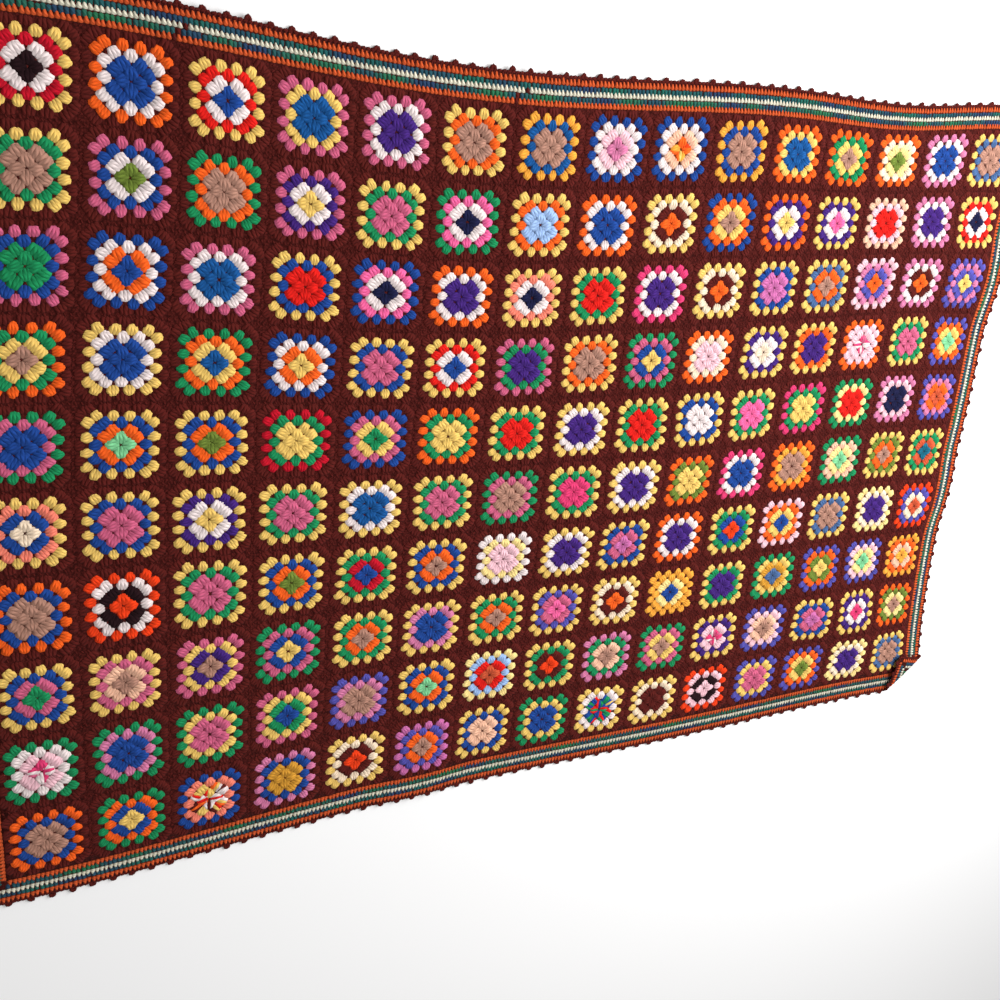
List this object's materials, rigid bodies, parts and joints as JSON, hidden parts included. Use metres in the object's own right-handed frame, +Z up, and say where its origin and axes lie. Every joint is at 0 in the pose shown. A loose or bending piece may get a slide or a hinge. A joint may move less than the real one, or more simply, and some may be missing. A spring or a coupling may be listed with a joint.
{
  "type": "granny square blanket",
  "caption": "Crocheted blanket of granny squares joined on a brown ground, with a striped border and a picot edging, laid flat with one corner folded over.",
  "frame": {"origin": "the middle of the laid blanket's box, on the surface it rests on", "axes": "+X along the long side, towards the end with the folded corner; +Y along the short side, away from the folded corner; +Z up from the surface"},
  "size_m": [1.7822, 1.2309, 0.0168],
  "materials": {
    "square_yarns": "matt crocheted wool in many colours, each square framed and joined in maroon brown",
    "border_yarns": "matt crocheted wool in rounds of orange, green and blue, and cream",
    "edging_yarn": "matt crocheted wool in maroon brown"
  },
  "bodies": {
    "root": {"field": "square_yarns", "border_band": "border_yarns", "picot_edging": "edging_yarn"}
  },
  "joints": []
}
